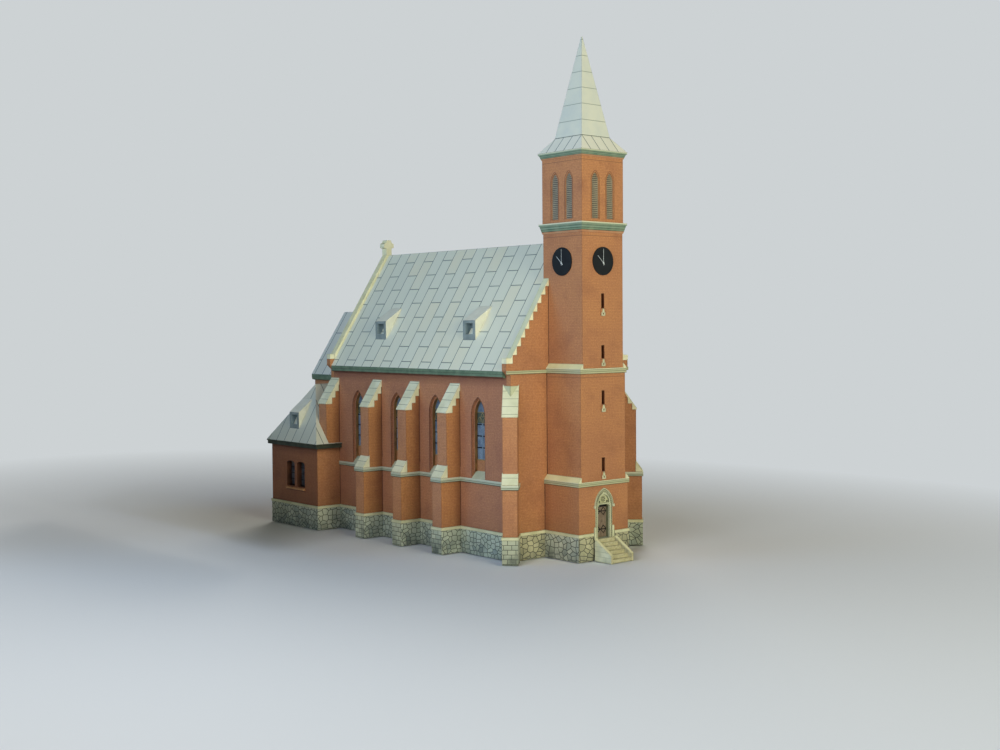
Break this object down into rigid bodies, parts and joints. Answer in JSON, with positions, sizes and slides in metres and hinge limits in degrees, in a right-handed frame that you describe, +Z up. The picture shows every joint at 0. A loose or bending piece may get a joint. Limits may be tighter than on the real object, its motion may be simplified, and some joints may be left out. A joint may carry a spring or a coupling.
{
  "type": "model church",
  "caption": "Card scale model of a neo-Gothic red-brick church with a front tower, needle spire, buttressed nave, rubble plinth, side annexes and a lower chancel",
  "frame": {"origin": "Middle of the footprint's bounding rectangle, at floor level on the underside of the plinth", "axes": "+Z is up, along the spire. -Y is the portal and tower front, +Y the chancel end. +X is on the right hand when facing +Y, from the portal towards the chancel"},
  "size_m": [0.1086, 0.231, 0.2477],
  "materials": {
    "brick": "matt printed card, brick",
    "rubble": "matt printed card, rubble stone",
    "stone": "matt printed card, dressed stone",
    "sheet": "matt printed card, roof sheet metal",
    "moulding": "matt printed card, painted mouldings",
    "glazing": "satin printed paper, leaded glass",
    "timber": "matt printed card, plank door",
    "dial": "matt printed card, near black"
  },
  "bodies": {
    "root": {"plinth": "rubble", "plinth_band": "stone", "nave_wall_left": "brick", "nave_wall_right": "brick", "nave_windows_left": "glazing", "nave_windows_right": "glazing", "gable_wall_front": "brick", "gable_wall_rear": "brick", "gable_coping_front_left": "stone", "gable_coping_front_right": "stone", "gable_coping_rear": "stone", "nave_roof_left": "sheet", "nave_roof_right": "sheet", "nave_eaves_left": "moulding", "nave_eaves_right": "moulding", "dormer_left_1": "sheet", "dormer_left_2": "sheet", "dormer_right_1": "sheet", "dormer_right_2": "sheet", "buttress_left_1": "brick", "buttress_left_2": "brick", "buttress_left_3": "brick", "buttress_left_4": "brick", "buttress_right_1": "brick", "buttress_right_2": "brick", "buttress_right_3": "brick", "buttress_right_4": "brick", "corner_buttress_left": "brick", "corner_buttress_right": "brick", "string_course_left": "moulding", "string_course_right": "moulding", "tower_lower_stage": "brick", "tower_middle_stage": "brick", "tower_clock_stage": "brick", "tower_string_lower": "moulding", "tower_string_upper": "moulding", "belfry": "brick", "belfry_louvres": "dial", "belfry_cornice": "moulding", "spire_cornice": "moulding", "spire": "sheet", "clock_front": "dial", "clock_left": "dial", "clock_right": "dial", "portal_surround": "stone", "door_leaf": "timber", "portal_steps": "stone", "chancel_walls": "brick", "chancel_roof": "sheet", "annex_walls_left": "brick", "annex_walls_right": "brick", "annex_windows_left": "glazing", "annex_windows_right": "glazing", "annex_roof_left": "sheet", "annex_roof_right": "sheet", "annex_dormer_left": "sheet", "annex_dormer_right": "sheet"}
  },
  "joints": []
}
